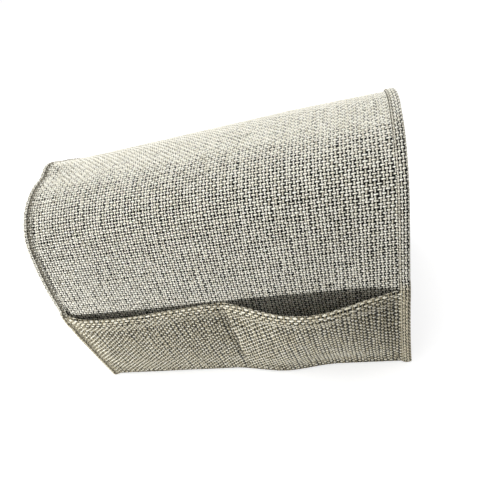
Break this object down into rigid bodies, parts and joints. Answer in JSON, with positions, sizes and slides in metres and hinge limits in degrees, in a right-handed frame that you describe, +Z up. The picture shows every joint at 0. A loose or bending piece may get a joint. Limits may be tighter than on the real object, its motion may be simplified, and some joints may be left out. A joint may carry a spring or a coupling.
{
  "type": "sofa armrest organizer",
  "caption": "Woven cloth saddle that drapes over a sofa arm, with open-topped pockets sewn on each hanging side.",
  "frame": {"origin": "middle of the crown's underside, where the saddle lies on the top of the arm", "axes": "+X along the sofa arm, +Z up, and the side in the picture hangs at -Y"},
  "size_m": [0.35, 0.2304, 0.2377],
  "materials": {
    "cover_cloth": "coarse plain weave of cream and grey slub yarns",
    "pocket_cloth": "coarse plain weave of cream and grey slub yarns",
    "binding_cloth": "coarse plain weave, folded as edge tape",
    "lining_cloth": "fine grey cloth with small rubber grip dots",
    "sewing_thread": "matt cream thread"
  },
  "bodies": {
    "top": {"top_cover": "cover_cloth", "top_lining": "lining_cloth", "top_left_binding": "binding_cloth", "top_right_binding": "binding_cloth", "top_left_stitching": "sewing_thread", "top_right_stitching": "sewing_thread"},
    "near_flap": {"near_cover": "cover_cloth", "near_lining": "lining_cloth", "near_pocket_panel": "pocket_cloth", "near_left_binding": "binding_cloth", "near_right_binding": "binding_cloth", "near_left_stitching": "sewing_thread", "near_right_stitching": "sewing_thread", "near_mouth_stitching": "sewing_thread", "near_divider_stitching": "sewing_thread", "near_hem_stitching": "sewing_thread"},
    "far_flap": {"far_cover": "cover_cloth", "far_lining": "lining_cloth", "far_pocket_panel": "pocket_cloth", "far_left_binding": "binding_cloth", "far_right_binding": "binding_cloth", "far_left_stitching": "sewing_thread", "far_right_stitching": "sewing_thread", "far_mouth_stitching": "sewing_thread", "far_divider_stitching": "sewing_thread", "far_hem_stitching": "sewing_thread"}
  },
  "joints": [
    {"name": "near_flap_lift", "type": "hinge", "parent": "top", "child": "near_flap", "pos_m": [0, -0.09501, -0.10362], "axis": [-1, 0, 0], "range_deg": [0, 90]},
    {"name": "far_flap_lift", "type": "hinge", "parent": "top", "child": "far_flap", "pos_m": [0, 0.09501, -0.10362], "axis": [1, 0, 0], "range_deg": [0, 90]}
  ]
}
